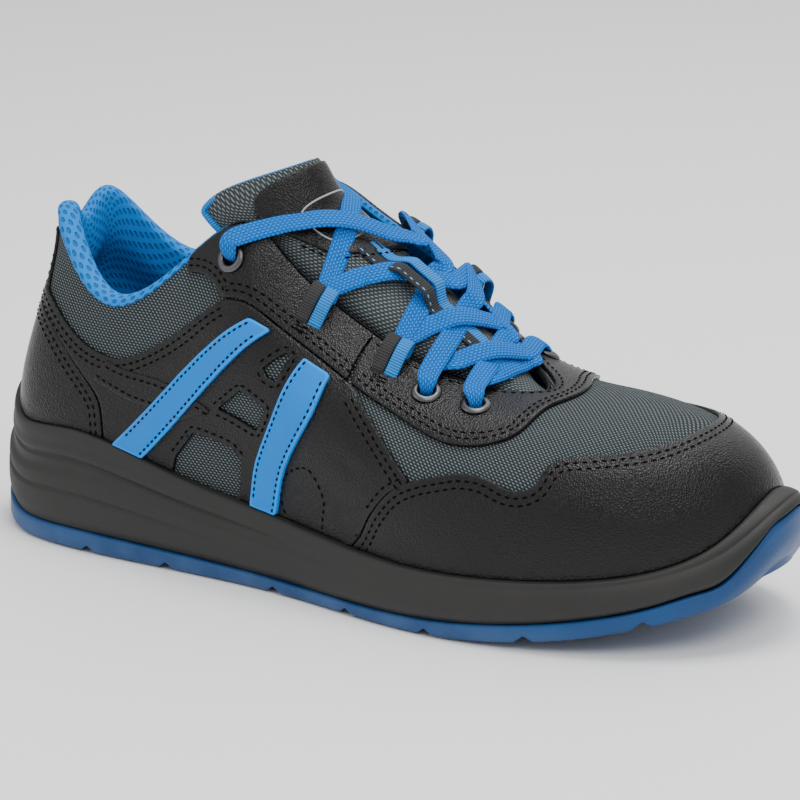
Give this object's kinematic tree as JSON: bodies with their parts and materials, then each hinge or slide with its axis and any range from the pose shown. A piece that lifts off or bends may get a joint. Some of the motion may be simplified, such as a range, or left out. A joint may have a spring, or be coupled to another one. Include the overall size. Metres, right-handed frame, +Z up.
{
  "type": "safety sneaker",
  "caption": "Low safety sneaker for the right foot with a lugged cup sole, leather toe cap and cage over mesh, padded collar and tongue, and flat laces.",
  "frame": {"origin": "on the floor, in the middle of the shoe's length and width", "axes": "+X towards the toe, +Y towards the inner side, +Z up; the outer side faces -Y"},
  "size_m": [0.3, 0.1083, 0.141],
  "materials": {
    "leather": "black fine-grained leather",
    "mesh": "slate grey woven mesh with a blue spacer lining",
    "blue_strap": "bright blue smooth strap",
    "outsole_rubber": "matt blue rubber",
    "midsole_foam": "matt charcoal moulded polyurethane",
    "lace_cord": "blue flat braid",
    "webbing": "black webbing with a blue edge",
    "eyelet_metal": "gunmetal",
    "insole_foam": "blue footbed cloth"
  },
  "bodies": {
    "root": {"eyelet_inner_1": "eyelet_metal", "eyelet_inner_2": "eyelet_metal", "eyelet_inner_3": "eyelet_metal", "eyelet_outer_1": "eyelet_metal", "eyelet_outer_2": "eyelet_metal", "eyelet_outer_3": "eyelet_metal", "facing_front": "leather", "facing_rear_inner": "leather", "facing_rear_outer": "leather", "heel_counter": "leather", "quarter_inner": "leather", "quarter_outer": "leather", "toe_cap": "leather", "tongue_patch": "leather", "upper": "mesh", "tongue": "mesh", "insole": "insole_foam", "lace_loop_inner_1": "webbing", "lace_loop_inner_2": "webbing", "lace_loop_outer_1": "webbing", "lace_loop_outer_2": "webbing", "tongue_tape": "webbing", "laces": "lace_cord", "midsole": "midsole_foam", "outsole": "outsole_rubber", "strap_front_inner": "blue_strap", "strap_front_outer": "blue_strap", "strap_rear_inner": "blue_strap", "strap_rear_outer": "blue_strap"}
  },
  "joints": []
}
